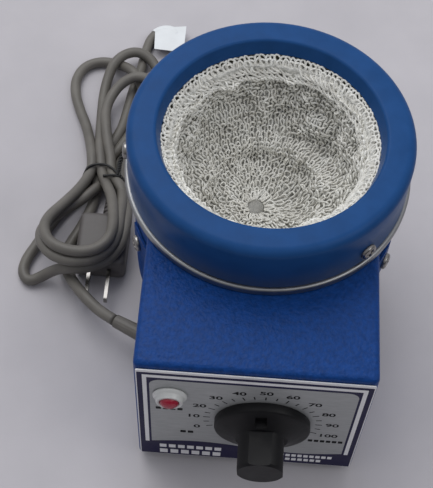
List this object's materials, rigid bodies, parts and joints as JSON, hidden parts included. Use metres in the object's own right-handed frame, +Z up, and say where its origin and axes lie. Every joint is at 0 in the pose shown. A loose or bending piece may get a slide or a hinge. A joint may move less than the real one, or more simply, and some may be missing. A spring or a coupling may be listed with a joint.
{
  "type": "laboratory heating mantle",
  "caption": "Round electric heating mantle with a knitted glass-fibre well for a round-bottom flask, on a sheet-metal control box with a dial knob, a lamp and a tied mains cord.",
  "frame": {"origin": "on the bench, under the middle of the bounding box of the mantle without its cord", "axes": "+Z up; the control panel faces -Y; +X is to the right of someone facing the panel"},
  "size_m": [0.195, 0.305, 0.138],
  "materials": {
    "ring_paint": "satin metallic blue lacquer over spun aluminium",
    "box_paint": "blue powder coat with a fine orange peel",
    "bare_aluminium": "bare spun bead, satin",
    "glass_fibre": "knitted off-white glass yarn",
    "mineral_wool": "loose mineral wool packing",
    "sleeved_wire": "fibreglass-sleeved heat-resisting wire",
    "earth_wire": "green insulated earth wire",
    "zinc_plate": "zinc-plated steel",
    "label": "printed label: brushed grey panel, white and navy bands",
    "white_plastic": "white moulding",
    "red_lens": "translucent red lens",
    "phenolic": "brown phenolic moulding",
    "black_phenolic": "black moulded knob",
    "brass": "machined brass",
    "black_rubber": "black rubber",
    "cord_jacket": "grey-brown flexible cord jacket",
    "plug_plastic": "dark grey moulded plug",
    "tag_film": "blank white flag label on the cord"
  },
  "bodies": {
    "body": {"top_ring": "ring_paint", "bead_ring": "bare_aluminium", "lower_pan": "box_paint", "fibre_well": "glass_fibre", "wool_packing": "mineral_wool", "heating_element": "sleeved_wire", "ring_screw_1": "zinc_plate", "ring_screw_2": "zinc_plate", "ring_screw_3": "zinc_plate", "tab_screw_1": "zinc_plate", "tab_screw_2": "zinc_plate", "control_box": "box_paint", "base_tray": "zinc_plate", "foot_1": "black_rubber", "foot_screw_1": "zinc_plate", "foot_2": "black_rubber", "foot_screw_2": "zinc_plate", "foot_3": "black_rubber", "foot_screw_3": "zinc_plate", "foot_4": "black_rubber", "foot_screw_4": "zinc_plate", "side_screw_1": "zinc_plate", "side_screw_2": "zinc_plate", "side_screw_3": "zinc_plate", "side_screw_4": "zinc_plate", "pan_bolt_1": "zinc_plate", "pan_bolt_2": "zinc_plate", "pan_bolt_3": "zinc_plate", "panel_label": "label", "lamp_bezel": "white_plastic", "lamp_lens": "red_lens", "lamp_nut": "white_plastic", "lamp_socket": "phenolic", "regulator_body": "phenolic", "regulator_nut": "brass", "terminal_block": "white_plastic", "heater_lead_1": "sleeved_wire", "heater_lead_2": "sleeved_wire", "regulator_wire": "sleeved_wire", "lamp_wire": "sleeved_wire", "earth_wire": "earth_wire", "lead_bush": "black_rubber", "strain_relief": "cord_jacket", "mains_cord": "cord_jacket", "cord_hank": "cord_jacket", "cord_tie": "black_rubber", "plug_body": "plug_plastic", "plug_pin_1": "zinc_plate", "plug_pin_2": "zinc_plate", "cord_tag": "tag_film"},
    "dial_knob": {"knob": "black_phenolic", "knob_set_screw": "zinc_plate", "regulator_shaft": "zinc_plate"}
  },
  "joints": [
    {"name": "knob_turn", "type": "hinge", "parent": "body", "child": "dial_knob", "pos_m": [0.0056, -0.0728, 0.0556], "axis": [0, 1, 0], "range_deg": [-105.6, 114.4]}
  ]
}
